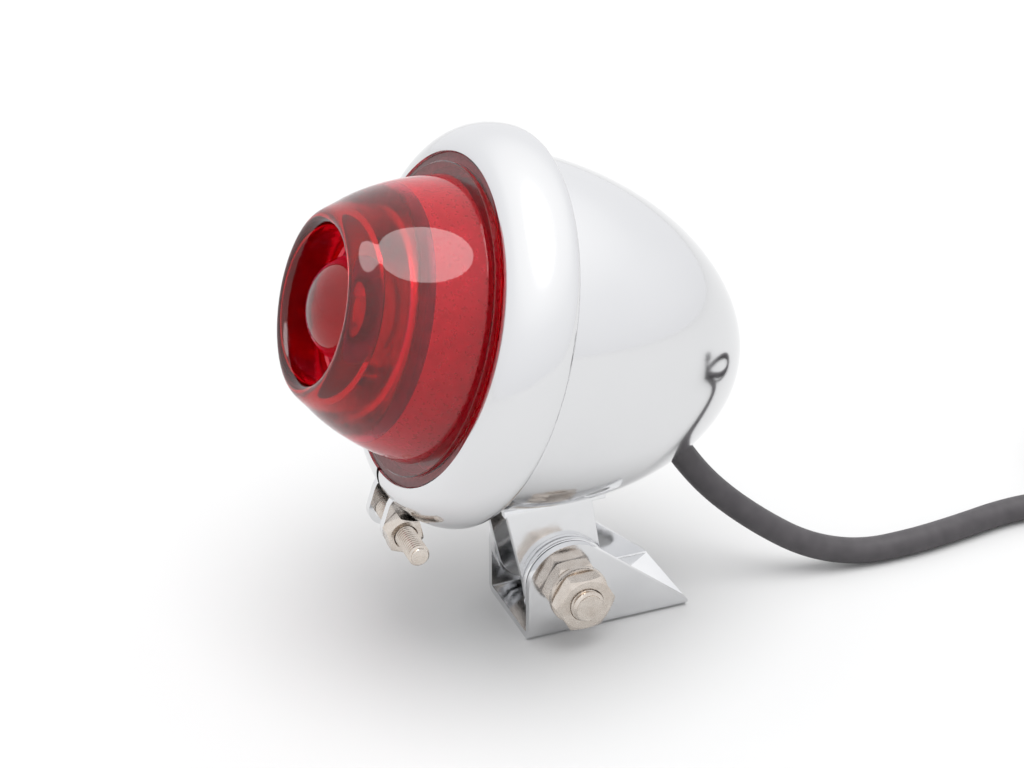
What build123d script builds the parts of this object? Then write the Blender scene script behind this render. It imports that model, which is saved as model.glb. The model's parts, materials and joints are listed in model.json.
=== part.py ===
from build123d import *
import os
from math import acos, atan2, cos, degrees, hypot, pi, radians, sin, tan

# A chrome bullet tail light for a motorcycle. Millimetres, +Z up.
# The origin is the centre of the base bracket's mounting face. The lens looks
# towards -Y and a little upwards, and the pivot bolt runs along X.
os.makedirs("parts", exist_ok=True)

# ---------------------------------------------------------------- base bracket
base_width = 25.4
base_length = 41.6
base_sheet = 1.8
base_bend_inner = 0.4
base_tail_height = 2.0
base_tail_round = 1.2
mount_hole_radius = 4.5
mount_hole_spacing = 23.0
mount_hole_round = 0.4

# ---------------------------------------------------------------- pivot bolt, M8
pivot_ahead = 10.4
pivot_height = 14.0
bolt_radius = 4.0
bolt_hole_clearance = 0.08
bolt_across_flats = 13.0
hex_corner_turn = 0.97
bolt_head_height = 5.3
bolt_proud = 1.6
thin_nut_height = 4.0
lock_washer_height = 2.0
lock_washer_radius = 7.2
lock_washer_gap = 1.4
lock_washer_gap_angle = 118.0
head_washer_height = 1.6
head_washer_radius = 8.0
thread_clearance = 0.02
thrust_washer_radius = 10.7
thrust_washer_height = 1.5
thrust_gap = 0.3

# ---------------------------------------------------------------- how the lamp sits on its pivot
head_tilt = 18.2
saddle_station = 42.643
saddle_above_pivot = 20.996
saddle_ahead_of_pivot = 1.263

# ---------------------------------------------------------------- head bracket
clevis_sheet = 1.8
clevis_bend_outer = 2.8
clevis_boss_radius = 10.0
web_into_bullet = 0.7
clevis_top = saddle_above_pivot + web_into_bullet
clevis_front = 15.0
clevis_ear_rear = 6.5
clevis_web_rear = 10.4
weld_gap = 0.03

# ---------------------------------------------------------------- bullet housing
# Stations count back from the bezel's opening.
bullet_radius = 40.6
bullet_start = 14.5
bullet_length = 64.1
bullet_shoulder = 0.588
bullet_nose = 0.471
housing_wall = 1.0
cup_step = 2.4
cup_radius = bullet_radius + cup_step
cup_front = 6.8
cup_back = 13.2

# ---------------------------------------------------------------- bezel and its clamp
bezel_wall = 1.0
bezel_cup_clearance = 1.5
bezel_radius = cup_radius + bezel_cup_clearance + bezel_wall
bezel_roll = 8.0
opening_radius = bezel_radius - bezel_roll
bezel_crest = 11.0
bezel_rear = 14.5
bezel_rear_turn = 1.7
bezel_lip_clearance = 0.7
bezel_split = 1.6
lug_gap = 3.8
lug_thickness = 2.0
lug_radius = 4.2
clamp_station = 6.8
clamp_stand_off = 3.4
clamp_drop = bezel_radius + clamp_stand_off
clamp_screw_radius = 2.5
clamp_screw_length = 25.0
clamp_head_radius = 4.3
clamp_head_height = 3.6
clamp_hole_clearance = 0.25
clamp_nut_flats = 8.0
clamp_nut_height = 4.0

# ---------------------------------------------------------------- lens, gasket and reflector
lens_opening_clearance = 0.3
lens_flange_catch = 1.4
lens_flange_front = 1.45
lens_flange_back = 5.0
lens_step = 2.1
lens_step_front = 0.8
lens_body_radius = opening_radius - 5.3
lens_wall = 2.2
lens_shoulder = 21.5
lens_shoulder_radius = 23.9
lens_front = 26.8
lens_ring_width = 2.0
lens_groove_radius = 17.3
lens_groove_floor = 16.5
lens_dome_radius = 11.6
lens_dome_front = 27.0
lens_cavity_front = 13.5
lens_cavity_flat = 20.0
gasket_cup_clearance = 0.5
gasket_width = 7.5
gasket_back = 11.4
reflector_sheet = 0.8
reflector_rim_step = 1.0
reflector_floor_margin = 1.0
reflector_floor = 25.0
reflector_hole_clearance = 0.85

# ---------------------------------------------------------------- bayonet socket
barrel_clearance = 0.35
barrel_wall = 0.8
barrel_back = 61.0
barrel_hole = 5.0
socket_flange_width = 6.25
socket_rivet_edge = 2.6
socket_rivet_radius = 1.2
socket_rivet_head = 0.9
ground_screw_radius = 1.5
ground_screw_length = 4.0
ground_screw_head = 1.4
terminal_radius = 2.9
terminal_thickness = 0.6
terminal_tab_width = 3.0
terminal_tab_length = 6.6
pin_radius = 1.0
slot_clearance = 0.4
slot_turn = 28.0
push_travel = 2.0

# ---------------------------------------------------------------- bulb
cap_radius = 7.6
cap_wall = 0.45
cap_front = 30.0
cap_back = 46.0
cap_hole_radius = 1.2
pin_proud = 0.15
pin_stations = (41.0, 38.0)
glass_radius = 12.7
glass_front = 3.5
glass_wall = 0.6
glass_widest = 9.0
neck_clearance = 0.25
neck_back = 34.0
contact_spread = 3.5
contact_radius = 1.6
contact_height = 1.0
insulator_height = 1.2
insulator_margin = 1.0
filament_stations = (9.5, 12.7)
filament_length = 6.0
filament_radius = 0.45
filament_offset = 1.2
support_radius = 0.3
stem_clearance = 0.4
stem_foot_height = 1.5
pinch_front = 20.0
pinch_length = 5.0

# ---------------------------------------------------------------- contact carrier and spring
carrier_height = 2.5
carrier_clearance = 0.3
plunger_radius = 1.5
plunger_proud = 1.0
plunger_tail = 2.3
spring_clearance = 1.55
spring_wire = 0.4
spring_turns = 5

# ---------------------------------------------------------------- wires, grommet and cable
wire_radius = 0.9
wire_bend = 1.9
wire_spread = 1.6
cable_radius = 3.25
exit_station = 70.0
grommet_wall = 1.45
grommet_flange_width = 1.5
grommet_inner_flange_width = 1.0
grommet_flange_height = 1.7
grommet_seat = 0.1
grommet_clearance = 0.1
cable_inside = 6.0
tie_thickness = 1.0
tie_width = 2.5
coil_centre = (1.0, 173.0)
coil_radius = 33.0
coil_tie_thickness = 0.6
coil_tie_angle = 9.0
coil_tie_place = 334.0
coil_double_from = 255.0
boot_wall = 0.6
boot_length = 12.0
plug_width = 14.0
plug_over_boot = 0.15
plug_round = 1.0
plug_length = 24.0
plug_ways = 3
plug_pitch = 4.0
plug_socket_radius = 1.3
plug_socket_depth = 18.0
plug_contact_wall = 0.3

# ---------------------------------------------------------------- sizes that follow
bezel_rear_radius = bezel_radius - bezel_rear_turn
lens_flange_radius = opening_radius + lens_flange_catch
lens_rim_radius = opening_radius - lens_opening_clearance
lens_step_radius = lens_rim_radius - lens_step
lens_ring_radius = lens_groove_radius + lens_ring_width
lens_cavity_radius = lens_body_radius - lens_wall
gasket_radius = cup_radius - housing_wall - gasket_cup_clearance
gasket_inner = gasket_radius - gasket_width
reflector_rim = gasket_inner - reflector_rim_step
barrel_radius = cap_radius + barrel_clearance
reflector_hole = barrel_radius + barrel_wall + reflector_hole_clearance
socket_flange_radius = barrel_radius + barrel_wall + socket_flange_width
socket_rivet_circle = socket_flange_radius - socket_rivet_edge
reflector_centre = socket_flange_radius + reflector_floor_margin
pin_reach = barrel_radius + barrel_wall + pin_proud
neck_radius = cap_radius - cap_wall - neck_clearance
spring_radius = barrel_radius - spring_wire - spring_clearance
grommet_neck = cable_radius + grommet_wall
grommet_flange = grommet_neck + grommet_flange_width
grommet_inner_flange = grommet_neck + grommet_inner_flange_width
boot_radius = cable_radius + boot_wall
plug_height = 2 * (boot_radius + plug_over_boot)

# ---------------------------------------------------------------- the bullet's outer curve
def bullet_points(inset):
    """Control points of the bullet's side, drawn in from its outer face."""
    radius = bullet_radius - inset
    length = bullet_length - inset
    return (
        (bullet_start, radius),
        (bullet_start + bullet_shoulder * length, radius),
        (bullet_start + length, bullet_nose * radius),
        (bullet_start + length, 0),
    )


def bullet_place(station):
    """Radius and outward slope of the bullet's outer face at a station."""
    low = 0.0
    high = 1.0
    for _ in range(50):
        share = (low + high) / 2
        chain = bullet_points(0)
        while len(chain) > 2:
            chain = [
                (a[0] + (b[0] - a[0]) * share, a[1] + (b[1] - a[1]) * share)
                for a, b in zip(chain, chain[1:])
            ]
        before, after = chain
        if before[0] + (after[0] - before[0]) * share < station:
            low = share
        else:
            high = share
    radius = before[1] + (after[1] - before[1]) * share
    return radius, atan2(before[1] - after[1], after[0] - before[0])


# ---------------------------------------------------------------- frames
tilt = radians(head_tilt)
pivot = Vector(0, -pivot_ahead, pivot_height)
across = Vector(1, 0, 0)
rear = Vector(0, cos(tilt), -sin(tilt))
up = Vector(0, sin(tilt), cos(tilt))
saddle_radius, saddle_slope = bullet_place(saddle_station)
clevis_rear = rear * cos(saddle_slope) + up * sin(saddle_slope)
clevis_up = up * cos(saddle_slope) - rear * sin(saddle_slope)
saddle_point = pivot + clevis_up * saddle_above_pivot - clevis_rear * saddle_ahead_of_pivot
lamp_origin = saddle_point + up * saddle_radius - rear * saddle_station
lamp_axis = Axis(lamp_origin, rear)
lamp_section = Plane(lamp_origin, x_dir=rear, z_dir=across)
clevis_side = Plane(pivot, x_dir=clevis_rear, z_dir=across)
clevis_section = Plane(pivot, x_dir=across, z_dir=-clevis_rear)


def across_lamp(station):
    """A plane square to the lamp's axis, facing back, with local y up the lamp."""
    return Plane(lamp_origin + rear * station, x_dir=-across, z_dir=rear)


def beside_lamp(station, height, side):
    """A plane square to X at a place given along and above the lamp's axis."""
    return Plane(lamp_origin + rear * station + up * height + across * side, x_dir=rear, z_dir=across)


def pivot_plane(side):
    """A plane square to the pivot bolt."""
    return Plane(pivot + across * side, x_dir=(0, 1, 0), z_dir=across)


def tangent_angle(point, centre, radius, side):
    """Angle, at the centre, of the tangent point on a circle as seen from a point."""
    offset = (point[0] - centre[0], point[1] - centre[1])
    return atan2(offset[1], offset[0]) + side * acos(radius / hypot(*offset))


# ================================================================ base
ear_front = -base_length / 2
ear_rear = base_length / 2
boss_radius = base_length / 2 - pivot_ahead
ear_centre = (-pivot_ahead, pivot_height)
slope_angle = tangent_angle((ear_rear, base_tail_height), ear_centre, boss_radius, 1)
slope_start = (
    ear_centre[0] + boss_radius * cos(slope_angle),
    ear_centre[1] + boss_radius * sin(slope_angle),
)

with BuildPart() as base_bracket:
    with BuildSketch(Plane.XZ) as channel:
        Rectangle(base_width, pivot_height + boss_radius, align=(Align.CENTER, Align.MIN))
        fillet(channel.vertices().group_by(Axis.Y)[0], base_bend_inner + base_sheet)
        with BuildSketch(mode=Mode.SUBTRACT) as channel_inside:
            with Locations((0, base_sheet)):
                Rectangle(
                    base_width - 2 * base_sheet,
                    pivot_height + boss_radius,
                    align=(Align.CENTER, Align.MIN),
                )
            fillet(channel_inside.vertices().group_by(Axis.Y)[0], base_bend_inner)
    extrude(amount=base_length / 2, both=True)
    with BuildSketch(Plane.YZ) as ear:
        with BuildLine():
            Line((ear_rear, 0), (ear_front, 0))
            Line((ear_front, 0), (ear_front, pivot_height))
            CenterArc(
                ear_centre,
                boss_radius,
                degrees(slope_angle),
                180 - degrees(slope_angle),
            )
            Line(slope_start, (ear_rear, base_tail_height))
            Line((ear_rear, base_tail_height), (ear_rear, 0))
        make_face()
        fillet(ear.vertices().sort_by_distance((ear_rear, base_tail_height))[0], base_tail_round)
    extrude(amount=base_width, both=True, mode=Mode.INTERSECT)
    with BuildSketch(pivot_plane(0)):
        Circle(bolt_radius + bolt_hole_clearance)
    extrude(amount=base_width, both=True, mode=Mode.SUBTRACT)
    with BuildSketch(Plane.XY):
        with GridLocations(0, mount_hole_spacing, 1, 2):
            Circle(mount_hole_radius)
    extrude(amount=base_sheet, mode=Mode.SUBTRACT)
    mount_hole_edges = (
        base_bracket.edges()
        .filter_by(GeomType.CIRCLE)
        .filter_by(lambda edge: abs(edge.radius - mount_hole_radius) < 0.01)
        .group_by(Axis.Z)[-1]
    )
    fillet(mount_hole_edges, mount_hole_round)

# ================================================================ pivot hardware
near_face = base_width / 2
inner_nut_end = near_face + thin_nut_height
lock_washer_end = inner_nut_end + lock_washer_height
outer_nut_end = lock_washer_end + thin_nut_height
bolt_end = outer_nut_end + bolt_proud
bolt_seat = -near_face - head_washer_height
nut_bore = bolt_radius + thread_clearance


def ring(plane, outer, inner, height):
    """A flat ring standing on a plane."""
    with BuildPart() as made:
        with BuildSketch(plane):
            Circle(outer)
            Circle(inner, mode=Mode.SUBTRACT)
        extrude(amount=height)
    return made.part


def hex_nut(plane, flats, bore, height):
    """A hexagon nut with its corners turned off at both faces."""
    corner = hex_corner_turn * flats / 2 / cos(pi / 6)
    with BuildPart() as made:
        with BuildSketch(plane):
            RegularPolygon(flats / 2, 6, major_radius=False)
            Circle(bore, mode=Mode.SUBTRACT)
        extrude(amount=height)
        with BuildSketch(plane):
            Circle(corner)
        extrude(amount=height, mode=Mode.INTERSECT)
    return made.part


with BuildPart() as pivot_bolt:
    with BuildSketch(pivot_plane(bolt_seat)):
        RegularPolygon(bolt_across_flats / 2, 6, major_radius=False)
    extrude(amount=-bolt_head_height)
    with BuildSketch(pivot_plane(bolt_seat)):
        Circle(bolt_radius)
    extrude(amount=bolt_end - bolt_seat)
    chamfer(pivot_bolt.edges().filter_by(GeomType.CIRCLE).sort_by(Axis.X)[-1], bolt_radius / 6)

with BuildPart() as pivot_head_washer:
    add(ring(pivot_plane(-near_face), head_washer_radius, nut_bore, -head_washer_height))

with BuildPart() as pivot_inner_nut:
    add(hex_nut(pivot_plane(near_face), bolt_across_flats, nut_bore, thin_nut_height))

with BuildPart() as pivot_lock_washer:
    add(ring(pivot_plane(inner_nut_end), lock_washer_radius, nut_bore, lock_washer_height))
    with BuildSketch(pivot_plane(inner_nut_end)):
        with PolarLocations(0, 1, start_angle=lock_washer_gap_angle):
            Rectangle(lock_washer_radius * 2, lock_washer_gap, align=(Align.MIN, Align.CENTER))
    extrude(amount=lock_washer_height, mode=Mode.SUBTRACT)

with BuildPart() as pivot_outer_nut:
    add(hex_nut(pivot_plane(lock_washer_end), bolt_across_flats, nut_bore, thin_nut_height))

clevis_half = base_width / 2 - base_sheet - thrust_gap - thrust_washer_height
with BuildPart() as thrust_washers:
    for side in (1, -1):
        add(
            ring(
                pivot_plane(side * clevis_half),
                thrust_washer_radius,
                bolt_radius + bolt_hole_clearance,
                side * thrust_washer_height,
            )
        )

# ================================================================ head bracket
front_angle = tangent_angle((-clevis_front, clevis_top), (0, 0), clevis_boss_radius, 1)
back_angle = tangent_angle((clevis_ear_rear, clevis_top), (0, 0), clevis_boss_radius, -1)
front_tangent = (clevis_boss_radius * cos(front_angle), clevis_boss_radius * sin(front_angle))
back_tangent = (clevis_boss_radius * cos(back_angle), clevis_boss_radius * sin(back_angle))

with BuildPart() as head_bracket:
    with BuildSketch(clevis_section) as clevis_channel:
        with Locations((0, clevis_top)):
            Rectangle(
                2 * clevis_half,
                clevis_top + clevis_boss_radius,
                align=(Align.CENTER, Align.MAX),
            )
        fillet(clevis_channel.vertices().group_by(Axis.Y)[-1], clevis_bend_outer)
        with BuildSketch(mode=Mode.SUBTRACT) as clevis_inside:
            with Locations((0, clevis_top - clevis_sheet)):
                Rectangle(
                    2 * (clevis_half - clevis_sheet),
                    clevis_top + clevis_boss_radius,
                    align=(Align.CENTER, Align.MAX),
                )
            fillet(clevis_inside.vertices().group_by(Axis.Y)[-1], clevis_bend_outer - clevis_sheet)
    extrude(amount=clevis_front + clevis_web_rear, both=True)
    with BuildSketch(clevis_side):
        with BuildLine():
            Line((-clevis_front, clevis_top), front_tangent)
            CenterArc(
                (0, 0),
                clevis_boss_radius,
                degrees(front_angle),
                degrees(back_angle - front_angle) % 360,
            )
            Line(back_tangent, (clevis_ear_rear, clevis_top))
            Line((clevis_ear_rear, clevis_top), (-clevis_front, clevis_top))
        make_face()
        with Locations((-clevis_front, clevis_top)):
            Rectangle(
                clevis_front + clevis_web_rear,
                clevis_bend_outer,
                align=(Align.MIN, Align.MAX),
            )
    extrude(amount=base_width, both=True, mode=Mode.INTERSECT)
    with BuildSketch(clevis_side):
        Circle(bolt_radius + bolt_hole_clearance)
    extrude(amount=base_width, both=True, mode=Mode.SUBTRACT)
    with BuildSketch(lamp_section):
        with BuildLine():
            Bezier(*bullet_points(-weld_gap))
            Polyline(
                (bullet_start + bullet_length + weld_gap, 0),
                (bullet_start, 0),
                (bullet_start, bullet_radius + weld_gap),
            )
        make_face()
    revolve(axis=lamp_axis, mode=Mode.SUBTRACT)

# ================================================================ housing
exit_radius, exit_slope = bullet_place(exit_station)
exit_normal = rear * sin(exit_slope) - up * cos(exit_slope)
exit_point = lamp_origin + rear * exit_station - up * exit_radius


def exit_plane(distance):
    """A plane square to the cable where it leaves the bullet, outwards from its skin."""
    return Plane(exit_point + exit_normal * distance, x_dir=across, z_dir=exit_normal)


with BuildPart() as housing:
    with BuildSketch(lamp_section):
        with BuildLine():
            Bezier(*bullet_points(0))
            Line(
                (bullet_start + bullet_length, 0),
                (bullet_start + bullet_length - housing_wall, 0),
            )
            Bezier(*bullet_points(housing_wall))
            Polyline(
                (bullet_start, bullet_radius - housing_wall),
                (cup_back - housing_wall, bullet_radius - housing_wall),
                (cup_back - housing_wall, cup_radius - housing_wall),
                (cup_front, cup_radius - housing_wall),
                (cup_front, cup_radius),
                (cup_back, cup_radius),
                (cup_back, bullet_radius),
                (bullet_start, bullet_radius),
            )
        make_face()
    revolve(axis=lamp_axis)
    with BuildSketch(exit_plane(grommet_flange_height)):
        Circle(grommet_neck + grommet_clearance)
    extrude(amount=-4 * grommet_flange_height, mode=Mode.SUBTRACT)

# ================================================================ bezel and clamp
crest_inner = bezel_radius - bezel_wall
rear_inner = bezel_rear_radius - bezel_wall
rear_lip_inner = bullet_radius + bezel_lip_clearance

with BuildPart() as bezel:
    with BuildSketch(lamp_section):
        with BuildLine():
            Bezier(
                (0, opening_radius),
                (0.03 * bezel_crest, opening_radius + 0.54 * bezel_roll),
                (0.47 * bezel_crest, bezel_radius),
                (bezel_crest, bezel_radius),
            )
            Bezier(
                (bezel_crest, bezel_radius),
                ((bezel_crest + bezel_rear) / 2, bezel_radius),
                (bezel_rear - 0.4, bezel_radius - 0.3 * bezel_rear_turn),
                (bezel_rear, bezel_rear_radius),
            )
            Polyline((bezel_rear, bezel_rear_radius), (bezel_rear, 0), (0, 0), (0, opening_radius))
        make_face()
    revolve(axis=lamp_axis)
    for side in (lug_gap, -lug_gap - lug_thickness):
        with BuildSketch(beside_lamp(clamp_station, -clamp_drop, side)):
            Circle(lug_radius)
            Rectangle(2 * lug_radius, clamp_drop - cup_radius, align=(Align.CENTER, Align.MIN))
        extrude(amount=lug_thickness)
    with BuildSketch(lamp_section):
        with BuildLine():
            Bezier(
                (bezel_wall, opening_radius),
                (bezel_wall + 0.4, opening_radius + 0.5 * bezel_roll),
                (0.51 * bezel_crest, crest_inner),
                (bezel_crest, crest_inner),
            )
            Polyline(
                (bezel_crest, crest_inner),
                (bezel_rear - bezel_wall, rear_inner),
                (bezel_rear - bezel_wall, rear_lip_inner),
                (bezel_rear + bezel_wall, rear_lip_inner),
                (bezel_rear + bezel_wall, 0),
                (-bezel_wall, 0),
                (-bezel_wall, opening_radius),
                (bezel_wall, opening_radius),
            )
        make_face()
    revolve(axis=lamp_axis, mode=Mode.SUBTRACT)
    with BuildSketch(beside_lamp(clamp_station, -clamp_drop, 0)):
        Circle(clamp_screw_radius + clamp_hole_clearance)
    extrude(amount=lug_gap + 2 * lug_thickness, both=True, mode=Mode.SUBTRACT)
    with BuildSketch(across_lamp(-bezel_wall)):
        with Locations((0, -opening_radius)):
            Rectangle(bezel_split, bezel_radius, align=(Align.CENTER, Align.CENTER))
    extrude(amount=bezel_rear + 2 * bezel_wall, mode=Mode.SUBTRACT)

lug_face = lug_gap + lug_thickness
with BuildPart() as clamp_screw:
    with BuildSketch(beside_lamp(clamp_station, -clamp_drop, -lug_face)):
        Circle(clamp_head_radius)
    extrude(amount=-clamp_head_height)
    fillet(clamp_screw.edges().filter_by(GeomType.CIRCLE).sort_by(Axis.X)[0], clamp_head_height / 2)
    with BuildSketch(beside_lamp(clamp_station, -clamp_drop, -lug_face)):
        Circle(clamp_screw_radius)
    extrude(amount=clamp_screw_length)
    chamfer(clamp_screw.edges().filter_by(GeomType.CIRCLE).sort_by(Axis.X)[-1], clamp_screw_radius / 6)

with BuildPart() as clamp_nut:
    add(
        hex_nut(
            beside_lamp(clamp_station, -clamp_drop, lug_face),
            clamp_nut_flats,
            clamp_screw_radius + thread_clearance,
            clamp_nut_height,
        )
    )

# ================================================================ lens, gasket, reflector
lens_slope = lens_body_radius - lens_shoulder_radius
lens_reach = lens_dome_front - lens_groove_floor
cavity_round = lens_cavity_radius - lens_cavity_flat

with BuildPart() as lens:
    with BuildSketch(lamp_section):
        with BuildLine():
            Bezier(
                (-lens_step_front, lens_body_radius),
                (-0.42 * lens_shoulder, lens_body_radius - 0.19 * lens_slope),
                (-0.77 * lens_shoulder, lens_body_radius - 0.58 * lens_slope),
                (-lens_shoulder, lens_shoulder_radius),
            )
            Bezier(
                (-lens_shoulder, lens_shoulder_radius),
                (-(lens_shoulder + lens_front) / 2, lens_shoulder_radius - 2.0),
                (-lens_front, lens_ring_radius + 1.6),
                (-lens_front, lens_ring_radius),
            )
            Bezier(
                (-lens_front, lens_ring_radius),
                (-lens_front, lens_ring_radius - 1.4),
                (-lens_front + 1.0, lens_groove_radius),
                (-lens_front + 2.6, lens_groove_radius),
            )
            Polyline(
                (-lens_front + 2.6, lens_groove_radius),
                (-lens_groove_floor, lens_groove_radius - 0.6),
                (-lens_groove_floor, lens_dome_radius + 0.3),
                (-lens_groove_floor - 1.5, lens_dome_radius),
            )
            Bezier(
                (-lens_groove_floor - 1.5, lens_dome_radius),
                (-lens_groove_floor - 0.66 * lens_reach, lens_dome_radius),
                (-lens_dome_front, 0.56 * lens_dome_radius),
                (-lens_dome_front, 0),
            )
            Polyline(
                (-lens_dome_front, 0),
                (-lens_cavity_front, 0),
                (-lens_cavity_front, lens_cavity_flat),
            )
            Bezier(
                (-lens_cavity_front, lens_cavity_flat),
                (-lens_cavity_front, lens_cavity_flat + 0.35 * cavity_round),
                (-lens_cavity_front + 1.0, lens_cavity_flat + 0.5 * cavity_round),
                (-lens_cavity_front + 3.5, lens_cavity_flat + 0.6 * cavity_round),
            )
            Polyline(
                (-lens_cavity_front + 3.5, lens_cavity_flat + 0.6 * cavity_round),
                (lens_flange_back, lens_cavity_radius),
                (lens_flange_back, lens_flange_radius),
                (lens_flange_front, lens_flange_radius),
                (lens_flange_front, lens_rim_radius),
                (lens_step_front / 2, lens_rim_radius),
                (lens_step_front / 2, lens_step_radius),
                (-lens_step_front, lens_step_radius),
                (-lens_step_front, lens_body_radius),
            )
        make_face()
    revolve(axis=lamp_axis)

with BuildPart() as lens_gasket:
    add(ring(across_lamp(lens_flange_back), gasket_radius, gasket_inner, gasket_back - lens_flange_back))

reflector_back = reflector_floor + reflector_sheet
dish_width = reflector_rim - reflector_centre
with BuildPart() as reflector:
    with BuildSketch(lamp_section):
        with BuildLine():
            Polyline(
                (reflector_floor, reflector_hole),
                (reflector_floor, reflector_centre),
            )
            Bezier(
                (reflector_floor, reflector_centre),
                (reflector_floor - 5.0, reflector_centre + 0.56 * dish_width),
                (gasket_back + 3.5, reflector_rim - 1.2),
                (gasket_back, reflector_rim),
            )
            Polyline(
                (gasket_back, reflector_rim),
                (gasket_back, gasket_radius),
                (gasket_back + reflector_sheet, gasket_radius),
                (gasket_back + reflector_sheet, reflector_rim + 0.7),
            )
            Bezier(
                (gasket_back + reflector_sheet, reflector_rim + 0.7),
                (gasket_back + reflector_sheet + 3.5, reflector_rim - 0.6),
                (reflector_back - 5.0, reflector_centre + 0.6 * dish_width),
                (reflector_back, reflector_centre + 0.4),
            )
            Polyline(
                (reflector_back, reflector_centre + 0.4),
                (reflector_back, reflector_hole),
                (reflector_floor, reflector_hole),
            )
        make_face()
    revolve(axis=lamp_axis)
    with BuildSketch(across_lamp(reflector_floor)):
        with PolarLocations(socket_rivet_circle, 2):
            Circle(socket_rivet_radius + thread_clearance)
        with Locations((0, -socket_rivet_circle)):
            Circle(ground_screw_radius + thread_clearance)
    extrude(amount=reflector_sheet, mode=Mode.SUBTRACT)

# ================================================================ bayonet socket
flange_back = reflector_back + barrel_wall
slot_width = 2 * (pin_radius + slot_clearance)

with BuildPart() as socket_barrel:
    with BuildSketch(lamp_section):
        with BuildLine():
            Polyline(
                (reflector_back, barrel_radius),
                (reflector_back, socket_flange_radius),
                (flange_back, socket_flange_radius),
                (flange_back, barrel_radius + barrel_wall),
                (barrel_back, barrel_radius + barrel_wall),
                (barrel_back, barrel_hole),
                (barrel_back - barrel_wall, barrel_hole),
                (barrel_back - barrel_wall, barrel_radius),
                close=True,
            )
        make_face()
    revolve(axis=lamp_axis)
    for turn, pin_station in zip((0, 180), pin_stations):
        slot_end = pin_station + push_travel + pin_radius + slot_clearance
        slot_face = across_lamp(reflector_back)
        with BuildSketch(slot_face):
            with PolarLocations(barrel_radius, 1, start_angle=turn - slot_turn):
                Rectangle(4 * barrel_wall, slot_width)
        extrude(amount=slot_end - reflector_back, mode=Mode.SUBTRACT)
        with BuildSketch(across_lamp(pin_station + push_travel - pin_radius - slot_clearance)):
            for step in range(5):
                with PolarLocations(barrel_radius, 1, start_angle=turn - slot_turn * step / 4):
                    Rectangle(4 * barrel_wall, slot_width)
        extrude(amount=slot_width, mode=Mode.SUBTRACT)
        with BuildSketch(across_lamp(pin_station - pin_radius)):
            with PolarLocations(barrel_radius, 1, start_angle=turn):
                Rectangle(4 * barrel_wall, slot_width)
        extrude(amount=slot_end - pin_station + pin_radius, mode=Mode.SUBTRACT)
    with BuildSketch(across_lamp(reflector_back)):
        with PolarLocations(socket_rivet_circle, 2):
            Circle(socket_rivet_radius + thread_clearance)
        with Locations((0, -socket_rivet_circle)):
            Circle(ground_screw_radius + thread_clearance)
    extrude(amount=barrel_wall, mode=Mode.SUBTRACT)

with BuildPart() as socket_rivets:
    with BuildSketch(across_lamp(reflector_floor)):
        with PolarLocations(socket_rivet_circle, 2):
            Circle(socket_rivet_radius)
    extrude(amount=reflector_sheet + barrel_wall)
    for station, height in ((reflector_floor, -socket_rivet_head), (flange_back, socket_rivet_head)):
        with BuildSketch(across_lamp(station)):
            with PolarLocations(socket_rivet_circle, 2):
                Circle(2 * socket_rivet_radius)
        extrude(amount=height)

with BuildPart() as ground_terminal:
    with BuildSketch(across_lamp(flange_back)):
        with Locations((0, -socket_rivet_circle)):
            Circle(terminal_radius)
            Rectangle(terminal_tab_width, terminal_tab_length, align=(Align.CENTER, Align.MAX))
            Circle(ground_screw_radius + thread_clearance, mode=Mode.SUBTRACT)
    extrude(amount=terminal_thickness)

terminal_back = flange_back + terminal_thickness
with BuildPart() as ground_screw:
    with BuildSketch(across_lamp(terminal_back)):
        with Locations((0, -socket_rivet_circle)):
            Circle(terminal_radius - terminal_thickness / 2)
    extrude(amount=ground_screw_head)
    with BuildSketch(across_lamp(terminal_back)):
        with Locations((0, -socket_rivet_circle)):
            Circle(ground_screw_radius)
    extrude(amount=-ground_screw_length)

# ================================================================ bulb
with BuildPart() as bulb_cap:
    with BuildSketch(lamp_section):
        with BuildLine():
            Polyline(
                (cap_front, cap_radius - cap_wall),
                (cap_front, cap_radius),
                (cap_back, cap_radius),
                (cap_back, cap_hole_radius),
                (cap_back - cap_wall, cap_hole_radius),
                (cap_back - cap_wall, cap_radius - cap_wall),
                close=True,
            )
        make_face()
    revolve(axis=lamp_axis)
    for turn, pin_station in zip((0, 180), pin_stations):
        pin_direction = across * (-cos(radians(turn)))
        pin_start = lamp_origin + rear * pin_station + pin_direction * (cap_radius - cap_wall)
        with BuildSketch(Plane(pin_start, x_dir=rear, z_dir=pin_direction)):
            Circle(pin_radius)
        extrude(amount=pin_reach - cap_radius + cap_wall)

with BuildPart() as bulb_insulator:
    with BuildSketch(across_lamp(cap_back)):
        Circle(cap_radius - insulator_margin)
    extrude(amount=insulator_height)
    chamfer(bulb_insulator.edges().group_by(lamp_axis)[-1], insulator_height / 2)

contact_face = cap_back + insulator_height + contact_height
with BuildPart() as bulb_contacts:
    with BuildSketch(across_lamp(cap_back + insulator_height)):
        with PolarLocations(contact_spread, 2):
            Circle(contact_radius)
    extrude(amount=contact_height)

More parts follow.
